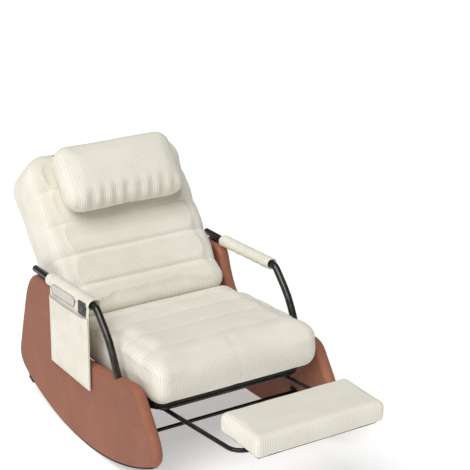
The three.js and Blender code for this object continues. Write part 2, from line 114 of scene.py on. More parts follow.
class Shader:
    """A small helper that builds one Principled material out of nodes."""

    def __init__(self, name, colour, roughness, metallic=0.0, **sockets):
        self.material = bpy.data.materials.new(name)
        self.material.use_nodes = True
        self.tree = self.material.node_tree
        self.bsdf = self.tree.nodes["Principled BSDF"]
        self.set(self.bsdf, **{"Base Color": (*colour, 1), "Roughness": roughness,
                               "Metallic": metallic})
        self.set(self.bsdf, **{k.replace("_", " "): v for k, v in sockets.items()})

    def set(self, node, **values):
        for key, value in values.items():
            node.inputs[key].default_value = value

    def node(self, kind, links=(), **values):
        made = self.tree.nodes.new(kind)
        for key, value in values.items():
            setattr(made, key, value)
        for socket, source in links:
            if isinstance(source, (int, float, tuple)):
                made.inputs[socket].default_value = source
            else:
                self.tree.links.new(source, made.inputs[socket])
        return made

    def math(self, operation, a, b=0.0, c=0.0):
        made = self.node("ShaderNodeMath", [(0, a), (1, b), (2, c)], operation=operation)
        return made.outputs[0]

    def object_coords(self):
        return self.node("ShaderNodeTexCoord").outputs["Object"]

    def attribute(self, name):
        return self.node("ShaderNodeAttribute", attribute_name=name)

    def noise(self, coords, scale, detail=2.0, rough=0.5):
        made = self.node("ShaderNodeTexNoise", [("Vector", coords), ("Scale", scale),
                                                ("Detail", detail), ("Roughness", rough)])
        return made.outputs["Fac"]

    def cells(self, coords, scale, feature="F1"):
        made = self.node("ShaderNodeTexVoronoi", [("Vector", coords), ("Scale", scale)],
                         feature=feature)
        return made.outputs["Distance"]

    def range(self, value, low, high, to_low=0.0, to_high=1.0):
        made = self.node("ShaderNodeMapRange", [("Value", value), ("From Min", low),
                         ("From Max", high), ("To Min", to_low), ("To Max", to_high)])
        return made.outputs["Result"]

    def stretch(self, coords, scale):
        made = self.node("ShaderNodeVectorMath", [(0, coords), (1, scale)], operation="MULTIPLY")
        return made.outputs[0]

    def mix(self, factor, a, b):
        made = self.node("ShaderNodeMix", data_type="RGBA")
        for socket, source in ((0, factor), (6, a), (7, b)):
            if isinstance(source, tuple):
                made.inputs[socket].default_value = (*source, 1)
            else:
                self.tree.links.new(source, made.inputs[socket])
        return made.outputs[2]

    def colour(self, source):
        self.tree.links.new(source, self.bsdf.inputs["Base Color"])

    def roughness(self, source):
        self.tree.links.new(source, self.bsdf.inputs["Roughness"])

    def bump(self, height, distance, strength=1.0):
        made = self.node("ShaderNodeBump", [("Height", height), ("Distance", distance),
                                            ("Strength", strength)])
        self.tree.links.new(made.outputs["Normal"], self.bsdf.inputs["Normal"])


def corduroy_material():
    """Fine corduroy. The cloth attribute holds (across the ribs, across on the sides, along)."""
    s = Shader("corduroy", srgb(226, 221, 207), 0.92, Sheen_Weight=0.18, Sheen_Roughness=0.45,
               Specular_IOR_Level=0.22)
    place = s.attribute("cloth").outputs["Vector"]
    axes = s.node("ShaderNodeSeparateXYZ", [(0, place)])
    wobble = s.math("MULTIPLY", s.noise(place, 22.0), 0.0022)

    def ribs(across):
        phase = s.math("MULTIPLY", s.math("ADD", across, wobble), 2 * math.pi / RIB)
        wave = s.math("MULTIPLY_ADD", s.math("SINE", phase), 0.5, 0.5)
        return s.math("POWER", wave, 0.55)

    side = s.attribute("side").outputs["Fac"]
    main, flank = ribs(axes.outputs[0]), ribs(axes.outputs[1])
    height = s.math("ADD", s.math("MULTIPLY", main, s.math("SUBTRACT", 1.0, side)),
                    s.math("MULTIPLY", flank, side))
    pile = s.noise(s.stretch(place, (900.0, 900.0, 420.0)), 1.0, 3.0, 0.6)
    mottle = s.noise(place, 9.0, 4.0, 0.6)
    wear = s.range(mottle, 0.35, 0.7)
    ridge = s.mix(wear, srgb(237, 234, 223), srgb(231, 227, 214))
    # Painted shade: the grooves between the ribs get a darker, yellower tone than the ridges.
    shaded_groove = s.mix(wear, srgb(216, 211, 195), srgb(209, 203, 185))
    s.colour(s.mix(s.range(s.math("MULTIPLY_ADD", pile, 0.25, height), 0.1, 0.75), shaded_groove, ridge))
    s.roughness(s.range(pile, 0.3, 0.7, 0.86, 0.97))
    s.bump(s.math("MULTIPLY_ADD", pile, 0.22, height), 0.0010, 0.6)
    return s.material


def plain_cloth_material():
    """The smoother woven cloth of the sleeves and the pocket."""
    s = Shader("plain_cloth", srgb(233, 229, 216), 0.88, Sheen_Weight=0.12, Sheen_Roughness=0.5,
               Specular_IOR_Level=0.25)
    place = s.object_coords()
    axes = s.node("ShaderNodeSeparateXYZ", [(0, place)])
    warp = s.math("SINE", s.math("MULTIPLY", axes.outputs[1], 2 * math.pi / 0.0021))
    weft = s.math("SINE", s.math("MULTIPLY", axes.outputs[2], 2 * math.pi / 0.0021))
    weave = s.math("MULTIPLY", warp, weft)
    slub = s.noise(s.stretch(place, (260.0, 260.0, 30.0)), 1.0, 2.0)
    mottle = s.noise(place, 14.0, 3.0)
    s.colour(s.mix(s.range(s.math("ADD", slub, mottle), 0.7, 1.3),
                   srgb(235, 231, 219), srgb(221, 216, 201)))
    s.roughness(s.range(slub, 0.3, 0.7, 0.82, 0.94))
    s.bump(s.math("MULTIPLY_ADD", weave, 0.4, slub), 0.00035, 0.5)
    return s.material


def leather_material():
    """Smooth terracotta leather with a fine pebbled grain, and a painted highlight that makes it paler
    along its rims.
    """
    s = Shader("leather", srgb(158, 106, 85), 0.5, Specular_IOR_Level=0.16)
    place = s.object_coords()
    pebbles = s.cells(place, 520.0, "DISTANCE_TO_EDGE")
    grain = s.range(pebbles, 0.0, 0.22)
    pores = s.noise(place, 900.0, 2.0)
    mottle = s.noise(place, 7.0, 5.0, 0.62)
    scuff_and_highlight_noise = s.noise(s.stretch(place, (42.0, 42.0, 55.0)), 1.0, 3.0)
    rim_highlight = s.attribute("rim_highlight").outputs["Fac"]
    hide = s.mix(s.range(mottle, 0.3, 0.72), srgb(140, 90, 70), srgb(155, 102, 81))
    # Painted highlight: the rims are mixed towards a paler, lit colour, in patches set by the noise.
    s.colour(s.mix(s.math("MULTIPLY", rim_highlight, s.range(scuff_and_highlight_noise, 0.3, 0.75, 0.14, 0.34)),
                   hide, srgb(184, 122, 97)))
    s.roughness(s.range(s.math("MULTIPLY_ADD", mottle, 0.7, scuff_and_highlight_noise), 0.6, 1.1, 0.5, 0.62))
    s.bump(s.math("MULTIPLY_ADD", pores, 0.35, grain), 0.00035, 0.45)
    return s.material


def metal_material(name, colour, worn, roughness, metallic):
    """Coated or bare metal with a fine uneven finish and small scratches."""
    s = Shader(name, srgb(*colour), roughness, metallic)
    place = s.object_coords()
    haze = s.noise(place, 35.0, 4.0, 0.6)
    speck = s.noise(place, 1400.0, 2.0)
    scratch = s.noise(s.stretch(place, (700.0, 40.0, 700.0)), 1.0, 2.0)
    s.colour(s.mix(s.range(s.math("MULTIPLY", haze, scratch), 0.22, 0.42), srgb(*colour), srgb(*worn)))
    s.roughness(s.range(s.math("ADD", haze, scratch), 0.7, 1.3, roughness - 0.07, roughness + 0.09))
    s.bump(speck, 0.0001, 0.3)
    return s.material


def dull_material(name, colour, other, roughness, scale, bump, weave=0.0):
    """Rubber, moulded plastic or backing cloth: a mottled colour with a fine relief."""
    s = Shader(name, srgb(*colour), roughness)
    place = s.object_coords()
    fine = s.noise(place, scale, 3.0)
    broad = s.noise(place, 18.0, 3.0)
    height = fine
    if weave:
        axes = s.node("ShaderNodeSeparateXYZ", [(0, place)])
        waves = [s.math("SINE", s.math("MULTIPLY", axes.outputs[i], 2 * math.pi / weave))
                 for i in range(2)]
        height = s.math("MULTIPLY_ADD", s.math("MULTIPLY", *waves), 0.5, fine)
    s.colour(s.mix(s.range(s.math("MULTIPLY_ADD", broad, 0.6, fine), 0.55, 1.0),
                   srgb(*colour), srgb(*other)))
    s.roughness(s.range(broad, 0.3, 0.7, roughness - 0.06, roughness + 0.05))
    s.bump(height, bump, 0.5)
    return s.material


def plywood_material():
    s = Shader("plywood", srgb(201, 168, 119), 0.62)
    place = s.object_coords()
    grain = s.noise(s.stretch(place, (14.0, 260.0, 14.0)), 1.0, 4.0, 0.65)
    pores = s.noise(s.stretch(place, (60.0, 1500.0, 60.0)), 1.0, 2.0)
    s.colour(s.mix(s.range(grain, 0.3, 0.7), srgb(176, 139, 92), srgb(214, 184, 138)))
    s.bump(s.math("ADD", grain, pores), 0.0002, 0.4)
    return s.material


CORDUROY = corduroy_material()
PLAIN_CLOTH = plain_cloth_material()
LEATHER = leather_material()
GUNMETAL = metal_material("gunmetal", (66, 64, 62), (92, 89, 86), 0.33, 0.9)
BLACK_STEEL = metal_material("black_steel", (44, 42, 41), (70, 67, 64), 0.42, 0.75)
BRIGHT_STEEL = metal_material("bright_steel", (160, 160, 158), (190, 190, 188), 0.3, 1.0)
RUBBER = dull_material("rubber", (38, 28, 24), (56, 44, 38), 0.8, 320.0, 0.0004)
BLACK_PLASTIC = dull_material("black_plastic", (38, 38, 39), (56, 56, 57), 0.45, 700.0, 0.0002)
BLACK_CLOTH = dull_material("black_cloth", (34, 33, 33), (52, 51, 50), 0.92, 500.0, 0.0006, 0.0016)
LABEL_CLOTH = dull_material("label_cloth", (196, 189, 183), (214, 208, 202), 0.7, 600.0, 0.0003,
                            0.0012)
THREAD = dull_material("thread", (214, 208, 192), (232, 227, 213), 0.8, 900.0, 0.0002)
DARK_THREAD = dull_material("dark_thread", (92, 88, 86), (120, 116, 113), 0.8, 900.0, 0.0002)
PLYWOOD = plywood_material()
FINISH = {"leather": LEATHER, "corduroy": CORDUROY, "gunmetal_tube": GUNMETAL,
          "black_steel": BLACK_STEEL, "bright_steel": BRIGHT_STEEL, "plywood": PLYWOOD,
          "rubber": RUBBER, "black_plastic": BLACK_PLASTIC, "black_cloth": BLACK_CLOTH,
          "label_cloth": LABEL_CLOTH}


# ------------------------------------------------------------------ mesh helpers
def smoothstep(low, high, value):
    t = np.clip((value - low) / (high - low), 0, 1)
    return t * t * (3 - 2 * t)


def mesh_piece(name, points, faces, material):
    mesh = bpy.data.meshes.new(name)
    mesh.from_pydata([tuple(p) for p in points], [], [tuple(f) for f in faces])
    mesh.update()
    piece = bpy.data.objects.new(name, mesh)
    bpy.context.scene.collection.objects.link(piece)
    piece.data.materials.append(material)
    return piece


def get_points(piece):
    co = np.zeros(len(piece.data.vertices) * 3)
    piece.data.vertices.foreach_get("co", co)
    return co.reshape(-1, 3)


def set_points(piece, points):
    piece.data.vertices.foreach_set("co", np.asarray(points, np.float32).ravel())
    piece.data.update()


def get_normals(piece):
    out = np.zeros(len(piece.data.vertices) * 3)
    piece.data.vertex_normals.foreach_get("vector", out)
    return out.reshape(-1, 3)


def smooth_shade(piece):
    piece.data.polygons.foreach_set("use_smooth", [True] * len(piece.data.polygons))
    piece.data.update()


def outward(piece):
    """Turns every face of a closed piece to look out."""
    work = bmesh.new()
    work.from_mesh(piece.data)
    bmesh.ops.recalc_face_normals(work, faces=work.faces)
    work.to_mesh(piece.data)
    work.free()


def bake_modifiers(piece):
    """Replaces the piece's mesh with what its modifiers make of it."""
    bpy.context.view_layer.update()
    graph = bpy.context.evaluated_depsgraph_get()
    made = bpy.data.meshes.new_from_object(piece.evaluated_get(graph), depsgraph=graph)
    piece.modifiers.clear()
    piece.data = made


def remesh(piece, voxel, smoothing=3):
    step = piece.modifiers.new("Remesh", "REMESH")
    step.mode = "VOXEL"
    step.voxel_size = voxel
    step.use_smooth_shade = True
    if smoothing:
        even = piece.modifiers.new("Smooth", "SMOOTH")
        even.factor = 0.5
        even.iterations = smoothing
    bake_modifiers(piece)


def subdivide(piece, levels=1):
    step = piece.modifiers.new("Subdivision", "SUBSURF")
    step.levels = step.render_levels = levels
    bake_modifiers(piece)
    smooth_shade(piece)


def inflate(piece, cap, pressure=4.0, frames=20):
    """Puffs a closed form up as stuffed cloth, moving no point further than cap says."""
    rest = get_points(piece)
    cloth = piece.modifiers.new("Cloth", "CLOTH")
    settings = cloth.settings
    settings.quality = 4
    settings.mass = 0.35
    settings.tension_stiffness = settings.compression_stiffness = 12
    settings.shear_stiffness = 6
    settings.bending_stiffness = 0.6
    settings.use_pressure = True
    settings.uniform_pressure_force = pressure
    settings.effector_weights.gravity = 0
    cloth.collision_settings.use_collision = False
    cloth.point_cache.frame_start = 1
    cloth.point_cache.frame_end = frames
    for number in range(1, frames + 1):
        bpy.context.scene.frame_set(number)
    graph = bpy.context.evaluated_depsgraph_get()
    shaped = piece.evaluated_get(graph)
    puffed = np.zeros(len(shaped.data.vertices) * 3)
    shaped.data.vertices.foreach_get("co", puffed)
    move = puffed.reshape(-1, 3) - rest
    piece.modifiers.clear()
    facing = get_normals(piece)
    inward = np.minimum(np.sum(move * facing, axis=1, keepdims=True), 0)
    move = move - 0.75 * inward * facing
    move = np.stack([even_out(piece, part, 8) for part in move.T], axis=1)
    bpy.context.scene.frame_set(1)
    length = np.linalg.norm(move, axis=1, keepdims=True)
    limit = np.broadcast_to(np.reshape(cap(rest) if callable(cap) else cap, (-1, 1)), length.shape)
    eased = limit * np.tanh(length / np.maximum(limit, 1e-6))
    set_points(piece, rest + move * eased / np.maximum(length, 1e-9))


def attribute(piece, name, values):
    kind = "FLOAT" if values.ndim == 1 else "FLOAT_VECTOR"
    key = "value" if values.ndim == 1 else "vector"
    made = piece.data.attributes.new(name, kind, "POINT")
    made.data.foreach_set(key, values.astype(np.float32).ravel())


def even_out(piece, values, rounds=3):
    """Averages a value over neighbouring points."""
    edges = np.zeros(len(piece.data.edges) * 2, int)
    piece.data.edges.foreach_get("vertices", edges)
    a, b = edges.reshape(-1, 2).T
    count = np.bincount(a, minlength=len(values)) + np.bincount(b, minlength=len(values))
    for _ in range(rounds):
        total = np.bincount(a, values[b], len(values)) + np.bincount(b, values[a], len(values))
        values = 0.5 * values + 0.5 * total / np.maximum(count, 1)
    return values


def resample(corners, spacing):
    """Even points along a closed polyline."""
    loop = np.vstack([corners, corners[:1]])
    steps = np.linalg.norm(np.diff(loop, axis=0), axis=1)
    along = np.concatenate([[0], np.cumsum(steps)])
    count = int(round(along[-1] / spacing))
    at = np.arange(count) * along[-1] / count
    return np.stack([np.interp(at, along, loop[:, i]) for i in range(2)], axis=1)


def curve_points(kind, *controls, steps=16):
    """Points of a quadratic or cubic Bezier curve, without its first one."""
    t = np.linspace(0, 1, steps + 1)[1:, None]
    p = [np.array(c, float) for c in controls]
    if kind == "quad":
        return (1 - t) ** 2 * p[0] + 2 * t * (1 - t) * p[1] + t * t * p[2]
    return ((1 - t) ** 3 * p[0] + 3 * t * (1 - t) ** 2 * p[1]
            + 3 * t * t * (1 - t) * p[2] + t ** 3 * p[3])


def rounded_rect(half_a, half_b, radius, centre=(0, 0), top_radius=None):
    """A rectangle with round corners, whose upper two may have a radius of their own."""
    points = []
    top = top_radius or radius
    for i, (sa, sb, r) in enumerate(((1, 1, top), (-1, 1, top), (-1, -1, radius), (1, -1, radius))):
        for angle in np.linspace(0, math.pi / 2, 10) + i * math.pi / 2:
            points.append((centre[0] + sa * (half_a - r) + r * math.cos(angle),
                           centre[1] + sb * (half_b - r) + r * math.sin(angle)))
    return np.array(points)


def slab(outline, low, high, low_edge, high_edge, spacing=0.008, rows=7):
    """(points as (a, b, t), faces) of an outline swept from low to high with rounded rims."""
    loop = resample(outline, spacing)
    ahead = np.roll(loop, -1, axis=0) - np.roll(loop, 1, axis=0)
    inward = np.stack([-ahead[:, 1], ahead[:, 0]], axis=1)
    inward /= np.linalg.norm(inward, axis=1, keepdims=True)
    area = np.sum(loop[:, 0] * np.roll(loop[:, 1], -1) - np.roll(loop[:, 0], -1) * loop[:, 1])
    inward *= math.copysign(1, area)
    turns = np.linspace(0, math.pi / 2, rows)
    stations = [(low + low_edge * (1 - math.sin(a)), low_edge * (1 - math.cos(a)))
                for a in turns[::-1]]
    stations += [(high - high_edge * (1 - math.sin(a)), high_edge * (1 - math.cos(a)))
                 for a in turns]
    points, faces = [], []
    n = len(loop)
    for t, inset in stations:
        ring = loop + inward * inset
        points += [(a, b, t) for a, b in ring]
    for row in range(len(stations) - 1):
        for i in range(n):
            j = (i + 1) % n
            faces.append((row * n + i, row * n + j, row * n + n + j, row * n + n + i))
    faces.append(tuple(range(n))[::-1])
    faces.append(tuple(range((len(stations) - 1) * n, len(stations) * n)))
    return np.array(points), faces


def back_place(local):
    """Row-frame points from (x, towards the sitter, up along the back)."""
    x, out, up = np.asarray(local, float).T
    s, c = math.sin(BACK_LEAN), math.cos(BACK_LEAN)
    return np.stack([x, BACK_PIVOT[0] - out * c + up * s, BACK_PIVOT[1] + out * s + up * c], axis=1)


def side_place(points):
    """Row-frame points from (y, z, x) of an outline drawn on the side."""
    y, z, x = np.asarray(points, float).T
    return np.stack([x, y + SHIFT_Y, z], axis=1)


def rolls(position, lines, depth, power=0.55):
    """How far a channelled cushion sinks at each position: depth at a seam, 0 between seams."""
    edges = np.array(lines)
    gaps = np.diff(edges)
    edges = np.concatenate([[edges[0] - gaps[0] * 1.25], edges, [edges[-1] + gaps[-1] * 1.25]])
    index = np.clip(np.searchsorted(edges, position) - 1, 0, len(edges) - 2)
    share = (position - edges[index]) / (edges[index + 1] - edges[index])
    share = np.clip(share, 0, 1)
    raised = np.sin(np.pi * share) ** power
    ends = (index == 0) & (share < 0.5) | (index == len(edges) - 2) & (share > 0.5)
    raised[ends] = 1
    return depth * (1 - raised)


def puckers(points, scale, seed):
    """Smooth seeded noise, one value per point."""
    shift = Vector((seed, seed * 0.37, seed * 1.91))
    return np.array([noise.noise(Vector(p) * scale + shift) for p in points])


def finish_cloth(piece, across, flank, along, axis_share):
    """Stores what the corduroy needs: the two rib directions, and which points face sideways."""
    attribute(piece, "cloth", np.stack([across, flank, along], axis=1))
    side = smoothstep(0.62, 0.8, np.abs(axis_share))
    attribute(piece, "side", even_out(piece, side, 10))


# ------------------------------------------------------------------ upholstery
def seat_cushion():
    corners = [curve_points("quad", (0.262, 0.300), (0.262, 0.2535), (0.236, 0.2555), steps=6),
               np.array([(-0.233, 0.2860)]),
               curve_points("quad", (-0.233, 0.2860), (-0.311, 0.291), (-0.308, 0.362)),
               curve_points("quad", (-0.308, 0.362), (-0.303, 0.430), (-0.240, 0.434)),
               curve_points("quad", (-0.240, 0.434), (0, 0.421), (0.165, 0.4035)),
               np.array([(0.228, 0.397)]),
               curve_points("quad", (0.228, 0.397), (0.260, 0.394), (0.262, 0.366), steps=6)]
    points, faces = slab(np.vstack(corners), -SEAT_HALF, SEAT_HALF, 0.040, 0.040)
    piece = mesh_piece("seat_cushion_soft", side_place(points), faces, CORDUROY)
    outward(piece)
    remesh(piece, 0.0062)

    def cap(rest):
        behind = smoothstep(0.19, 0.245, rest[:, 1] - SHIFT_Y)
        return 0.020 - 0.018 * behind

    inflate(piece, cap)
    subdivide(piece)
    rest, facing = get_points(piece), get_normals(piece)
    y = rest[:, 1] - SHIFT_Y
    up = smoothstep(0.15, 0.6, facing[:, 2])
    fade = 1 - 0.55 * smoothstep(0.255, 0.305, np.abs(rest[:, 0]))
    bow = 0.010 * (rest[:, 0] / SEAT_HALF) ** 2
    sink = rolls(y + bow, SEAT_CHANNELS, 0.0065, 0.42) * up * fade
    soft = 0.0016 * puckers(rest, 7.0, 3.1) * up
    edge = 0.006 * up * smoothstep(0.17, 0.27, np.abs(rest[:, 0])) * smoothstep(0.16, 0.10, y)
    rest = rest - facing * (sink - soft - edge)[:, None]
    rest = rest_on_deck(between_panels(rest))
    set_points(piece, rest)
    facing = get_normals(piece)
    finish_cloth(piece, rest[:, 0], rest[:, 1], rest[:, 1] + rest[:, 2], facing[:, 0])
    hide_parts("seat_cushion")
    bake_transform(piece)


def rest_on_deck(points):
    """Flattens the underside of the seat where it lies on its board."""
    y = points[:, 1] - SHIFT_Y
    deck = 0.281 - (y + 0.235) * (0.281 - 0.250) / (0.228 + 0.235) + 0.0006
    lifted = points.copy()
    lifted[:, 2] = np.maximum(points[:, 2], deck)
    return lifted


def between_panels(points):
    """Eases a cushion's flanks so that they stop short of the side panels."""
    wide = np.abs(points[:, 0])
    start = INNER_LIMIT - 0.010
    eased = start + 0.010 * np.tanh((wide - start) / 0.010)
    held = points.copy()
    held[:, 0] = np.where(wide > start, eased * np.sign(points[:, 0]), points[:, 0])
    return held


def back_cushion():
    middle = (BACK_HIGH + BACK_LOW) / 2
    outline = rounded_rect(BACK_HALF, (BACK_HIGH - BACK_LOW) / 2, 0.06, (0, middle), 0.092)
    points, faces = slab(outline, BACK_REAR, BACK_FRONT, 0.018, 0.040)
    piece = mesh_piece("back_cushion_soft", points[:, [0, 2, 1]], faces, CORDUROY)
    outward(piece)
    remesh(piece, 0.0066)

    def cap(rest):
        return 0.011 + 0.004 * smoothstep(0.0, 0.12, rest[:, 1])

    inflate(piece, cap)
    subdivide(piece)
    rest, facing = get_points(piece), get_normals(piece)
    front = smoothstep(-0.25, 0.95, facing[:, 1])
    flank = smoothstep(0.4, 0.9, np.abs(facing[:, 0])) * smoothstep(0.05, 0.14, rest[:, 1])
    sink = rolls(rest[:, 2], BACK_CHANNELS, 0.0145, 0.62) * np.clip(front + 0.2 * flank, 0, 1)
    sink = sink * (1 - 0.4 * smoothstep(0.20, 0.315, np.abs(rest[:, 0])))
    soft = 0.0018 * puckers(rest, 6.0, 8.7) * front
    rest = rest - facing * (sink - soft)[:, None]
    rest[:, 1] = np.minimum(rest[:, 1], 0.1742 - 0.0045 * behind_pillow(rest))
    lower = rest[:, 2] < COVER_TOP + 0.003
    lip = lower & (np.abs(rest[:, 0]) > 0.2865) & (rest[:, 2] > 0.024)
    rest[lower & ~lip, 1] = np.maximum(rest[lower & ~lip, 1], BACK_BOARD)
    rest[lip, 1] = np.maximum(rest[lip, 1], -0.0088)
    rest[:, 1] = np.maximum(rest[:, 1], -0.0262)
    rest = between_panels(rest)
    LOCAL["back"] = rest.copy()
    across, depth, along = rest[:, 0].copy(), rest[:, 1].copy(), rest[:, 2].copy()
    set_points(piece, rest)
    facing = get_normals(piece)
    finish_cloth(piece, across, depth, along, facing[:, 0])
    set_points(piece, back_place(rest))
    outward(piece)
    done(piece, "back", "corduroy", "back_cushion")


def behind_pillow(points):
    """1 where the pillow rests on the back, at any height it slides to, and 0 well away from it."""
    beside = smoothstep(0.262, 0.236, np.abs(points[:, 0]))
    return beside * smoothstep(0.235, 0.262, points[:, 2])


def head_pillow():
    half_x, half_u, half_t = PILLOW_HALF
    outline = rounded_rect(half_x, half_u, 0.05, (0, PILLOW_UP))
    points, faces = slab(outline, PILLOW_OUT - half_t, PILLOW_OUT + half_t, 0.042, 0.050)
    piece = mesh_piece("head_pillow_soft", points[:, [0, 2, 1]], faces, CORDUROY)
    outward(piece)
    remesh(piece, 0.0055)
    inflate(piece, 0.013)
    subdivide(piece)
    rest, facing = get_points(piece), get_normals(piece)
    across, out, up = rest.T
    edge_u = half_u - np.abs(up - PILLOW_UP)
    edge_x = half_x - np.abs(across)
    slump = 0.018 * smoothstep(0.11, 0.0, up - (PILLOW_UP - half_u)) * smoothstep(0.18, 0.24, out)
    low = smoothstep(0.085, 0.015, up - (PILLOW_UP - half_u)) * smoothstep(0.2, 0.25, out)
    folds = np.sin(across * 2 * math.pi / 0.047 + 2.4 * puckers(rest * (1, 0.2, 0.2), 11.0, 5.2))
    gather = 0.0029 * folds * low * smoothstep(0.0, 0.05, edge_x)
    seam = 0.0032 * np.exp(-((out - PILLOW_OUT + 0.012) / 0.004) ** 2)
    seam *= smoothstep(0.035, 0.012, np.minimum(edge_u, edge_x))
    soft = 0.0026 * puckers(rest, 9.0, 1.3)
    crown = -0.010 * smoothstep(0.12, 0.0, edge_u) * smoothstep(0.2, 0.28, out)
    rest = rest + facing * (gather + soft - seam + 0.25 * slump)[:, None]
    rest[:, 1] += crown * 0.6
    rest[:, 1] = np.maximum(rest[:, 1], 0.1702)
    across, out, up = rest.T.copy()
    set_points(piece, rest)
    facing = get_normals(piece)
    finish_cloth(piece, across, out, up, facing[:, 0])
    set_points(piece, back_place(rest))
    outward(piece)
    done(piece, "pillow", "corduroy", "head_pillow")


def footrest_pad():
    half_x, half_y, half_z = PAD_HALF
    outline = rounded_rect(half_y, half_z, 0.010, PAD_CENTRE, 0.017)
    points, faces = slab(outline, -half_x, half_x, 0.017, 0.017, 0.006)
    piece = mesh_piece("footrest_pad_soft", side_place(points), faces, CORDUROY)
    outward(piece)
    remesh(piece, 0.005, 2)
    inflate(piece, 0.0045)
    subdivide(piece)
    rest, facing = get_points(piece), get_normals(piece)
    centre_z = PAD_CENTRE[1]
    y = rest[:, 1] - SHIFT_Y - PAD_CENTRE[0]
    share = (1 - (rest[:, 0] / half_x) ** 4) * (1 - (y / half_y) ** 4)
    crown = 0.0035 * np.clip(share, 0, 1) * smoothstep(0.4, 0.9, facing[:, 2])
    seam = sum(0.0018 * np.exp(-((rest[:, 2] - centre_z - level) / 0.0032) ** 2)
               for level in (-0.021, 0.021))
    seam = seam * smoothstep(0.6, 0.9, 1 - np.abs(facing[:, 2]))
    rest = rest + facing * (crown - seam + 0.0008 * puckers(rest, 12.0, 6.4))[:, None]
    rest[:, 2] = np.clip(rest[:, 2], centre_z - 0.0335, centre_z + 0.0365)
    set_points(piece, rest)
    facing = get_normals(piece)
    finish_cloth(piece, rest[:, 0], rest[:, 1], rest[:, 1] + rest[:, 2], facing[:, 0])
    done(piece, "footrest", "corduroy", "footrest_pad")


def rear_cover():
    """The padded cover behind the lower part of the back."""
    low, high = -0.012, COVER_TOP - 0.004
    thin = (0.0093, 0.0258)
    outline = rounded_rect(0.293, (high - low) / 2, 0.040, (0, (high + low) / 2))
    points, faces = slab(outline, -thin[1], -thin[0], 0.0075, 0.003, 0.006, 4)
    piece = mesh_piece("rear_cover_soft", points[:, [0, 2, 1]], faces, CORDUROY)
    outward(piece)
    remesh(piece, 0.005, 1)
    subdivide(piece)
    rest, facing = get_points(piece), get_normals(piece)
    inset = np.minimum(0.293 - np.abs(rest[:, 0]), np.minimum(rest[:, 2] - low, high - rest[:, 2]))
    rear = smoothstep(-0.5, -0.9, facing[:, 1])
    seam = 0.0016 * np.exp(-((inset - 0.018) / 0.003) ** 2) * rear
    rest = rest + facing * (0.0008 * puckers(rest, 8.0, 4.4) * rear - seam)[:, None]
    rest[:, 1] = np.clip(rest[:, 1], -0.0268, -0.0093)
    across, out, up = rest.T.copy()
    set_points(piece, rest)
    finish_cloth(piece, across, out, up, get_normals(piece)[:, 0])
    set_points(piece, back_place(rest))
    outward(piece)
    done(piece, "back", "corduroy", "back_rear_cover")


def panel_outline():
    """The rocking side: a round runner below, a peak behind and a low nose in front."""
    cy, cz = ROCKER_CENTRE
    runner = []
    for y in np.linspace(ROCKER_FRONT, ROCKER_REAR, 60):
        runner.append((y, cz - math.sqrt(ROCKER_RADIUS ** 2 - (y - cy) ** 2)))
    tail, nose = runner[-1], runner[0]
    parts = [np.array(runner),
             curve_points("quad", tail, (0.612, 0.116), (0.595, 0.175)),
             np.array([(0.543, 0.352)]),
             curve_points("quad", (0.543, 0.352), (0.507, 0.484), (0.455, 0.489)),
             np.array([(0.372, 0.492)]),
             curve_points("quad", (0.372, 0.492), (0.343, 0.493), (0.333, 0.464)),
             curve_points("cubic", (0.333, 0.464), (0.295, 0.345), (0.262, 0.300), (0.130, 0.311)),
             curve_points("cubic", (0.130, 0.311), (0.030, 0.318), (-0.070, 0.334), (-0.180, 0.354)),
             curve_points("quad", (-0.180, 0.354), (-0.243, 0.371), (-0.276, 0.316)),
             np.array([(-0.338, 0.233)]),
             curve_points("quad", (-0.338, 0.233), (-0.386, 0.160), nose)[:-1]]
    return np.vstack(parts)


def side_panels():
    middle, half = sum(PANEL_FACES) / 2, (PANEL_FACES[1] - PANEL_FACES[0]) / 2
    points, faces = slab(panel_outline(), -half, half, PANEL_EDGE, PANEL_EDGE, 0.007)
    for side, sign in SIDES:
        placed = side_place(points) + (sign * middle, 0, 0)
        piece = mesh_piece(f"{side}_side_leather", placed, faces, LEATHER)
        outward(piece)
        remesh(piece, 0.0058, 4)
        subdivide(piece)
        rest, facing = get_points(piece), get_normals(piece)
        crown = 0.0014 * smoothstep(0.6, 1.0, np.abs(facing[:, 0]))
        soft = 0.0007 * puckers(rest, 6.0, 2.0 + sign)
        rest = rest + facing * (soft + crown)[:, None]
        rest[:, 2] = np.maximum(rest[:, 2], 0.0036)
        rest[:, 0] = np.clip(rest[:, 0], sign * middle - half - 0.0004, sign * middle + half + 0.0004)
        set_points(piece, rest)
        # Mask for the painted highlight along the panel's rounded rims.
        rim_highlight = smoothstep(0.95, 0.5, np.abs(get_normals(piece)[:, 0]))
        attribute(piece, "rim_highlight", even_out(piece, rim_highlight, 3))
        done(piece, "base", "leather", f"{side}_side_outer_pad", f"{side}_side_inner_pad")


def arm_frame():
    """(origin, forward direction, up direction, length) of an arm sleeve, in the row frame."""
    (y0, z0), (y1, z1) = ARM_AXIS
    forward = Vector((0, y1 - y0, z1 - z0))
    length = forward.length
    forward.normalize()
    lift = Vector((0, -forward.z, forward.y))
    return Vector((0, y0 + SHIFT_Y, z0)), forward, lift if lift.z > 0 else -lift, length


def arm_place(points):
    """Row-frame points from (x, forward along the sleeve, up)."""
    origin, forward, lift, _ = arm_frame()
    x, ahead, up = np.asarray(points, float).T
    return (np.array(origin) + np.outer(x, (1, 0, 0)) + np.outer(ahead, forward)
            + np.outer(up, lift))


